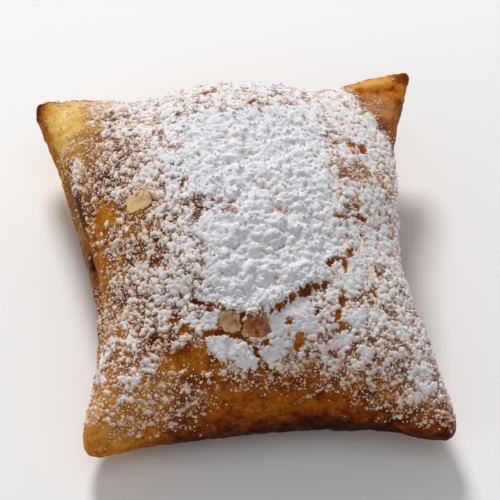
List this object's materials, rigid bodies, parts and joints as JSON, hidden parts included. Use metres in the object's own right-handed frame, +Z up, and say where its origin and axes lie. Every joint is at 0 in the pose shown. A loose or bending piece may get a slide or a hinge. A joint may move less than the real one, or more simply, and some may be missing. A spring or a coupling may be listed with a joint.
{
  "type": "beignet",
  "caption": "Square cushion of fried dough with drawn-out corners, browned all over and capped with a lumpy cake of powdered sugar that thins to specks near the edges.",
  "frame": {"origin": "on the surface the beignet rests on, under the middle of its outline in plan", "axes": "+Z up; the side nearest the camera in the picture faces -Y and the picture's left side faces -X"},
  "size_m": [0.079, 0.0856, 0.0337],
  "materials": {
    "fried_crust": "fried dough crust, golden brown, darker red-brown in creases and on the shaded near face, paler yellow at the thin far left corner, faintly oily",
    "sugar": "powdered sugar, dry and white, as a lumpy cake, as clumps and as fine specks",
    "crust_flake": "loose flakes of pale dry crust"
  },
  "bodies": {
    "root": {"beignet": "fried_crust"}
  },
  "joints": []
}
